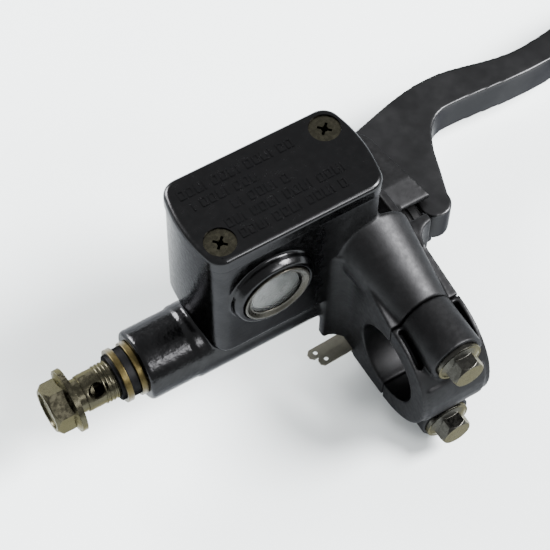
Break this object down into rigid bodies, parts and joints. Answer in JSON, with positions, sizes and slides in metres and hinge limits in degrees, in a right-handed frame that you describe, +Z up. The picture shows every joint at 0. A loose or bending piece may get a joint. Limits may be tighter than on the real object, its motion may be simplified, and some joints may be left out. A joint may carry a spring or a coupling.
{
  "type": "brake master cylinder",
  "caption": "Handlebar-mounted hydraulic brake master cylinder with reservoir, clamp, hinged lever, banjo outlet and a lever-operated light switch.",
  "frame": {"origin": "centre of the handlebar bore, at the middle of the clamp's width", "axes": "+X outboard along the handlebar, towards the lever's ball end; +Y forward, from the bar to the cylinder; +Z up, towards the reservoir lid"},
  "size_m": [0.2665, 0.0869, 0.0721],
  "materials": {
    "casting_black": "thick gloss black paint with a slight orange peel",
    "cap_black": "gloss black paint",
    "lid_black": "gloss black paint",
    "lever_black": "satin dark grey paint",
    "zinc_olive": "olive zinc plate",
    "zinc_dark": "dark passivated zinc plate",
    "steel_plain": "ground",
    "spring_steel": "drawn wire",
    "piston_alu": "hard anodised",
    "tin_blade": "dull tin plate",
    "guard_steel": "thin bright sheet",
    "washer_brass": "dull, turned",
    "rubber_black": "matte",
    "plate_nylon": "natural nylon",
    "plastic_black": "fine textured black",
    "plunger_nylon": "natural acetal",
    "ring_alu": "satin turned",
    "lens_clear": "clear polycarbonate",
    "reflector_grey": "satin grey"
  },
  "bodies": {
    "body": {"cylinder_body": "casting_black", "clamp_cap": "cap_black", "clamp_bolts": "zinc_dark", "reservoir_lid": "lid_black", "lid_screws": "zinc_olive", "diaphragm": "rubber_black", "diaphragm_plate": "plate_nylon", "splash_guard": "guard_steel", "sight_ring": "ring_alu", "sight_lens": "lens_clear", "sight_seal": "rubber_black", "sight_reflector": "reflector_grey", "return_spring": "spring_steel", "stop_washer": "steel_plain", "snap_ring": "spring_steel", "dust_boot": "rubber_black", "pivot_bolt": "zinc_dark", "pivot_nut": "zinc_dark", "banjo_bolt": "zinc_dark", "sealing_washers": "washer_brass", "washer_spacer": "plastic_black", "switch_body": "plastic_black", "switch_screw": "zinc_olive", "switch_terminals": "tin_blade"},
    "lever": {"lever": "lever_black"},
    "piston": {"piston": "piston_alu", "primary_cup": "rubber_black", "secondary_cup": "rubber_black"},
    "switch_plunger": {"switch_plunger": "plunger_nylon"}
  },
  "joints": [
    {"name": "lever_pivot", "type": "hinge", "parent": "body", "child": "lever", "pos_m": [0.0098, 0.0515, 0.0017], "axis": [0, 0, -1], "range_deg": [0, 15], "stiffness_Nm_per_rad": 0.6, "springref_deg": -28.65},
    {"name": "piston_stroke", "type": "slide", "parent": "body", "child": "piston", "axis": [-1, 0, 0], "range_m": [0, 0.0058], "deforming": ["return_spring", "dust_boot"]},
    {"name": "switch_stroke", "type": "slide", "parent": "body", "child": "switch_plunger", "axis": [-1, 0, 0], "range_m": [0, 0.0049]}
  ],
  "couplings": [
    {"joint": "piston_stroke", "follows": "lever_pivot", "m_per_rad": 0.022},
    {"joint": "switch_stroke", "follows": "lever_pivot", "m_per_rad": 0.0184}
  ]
}
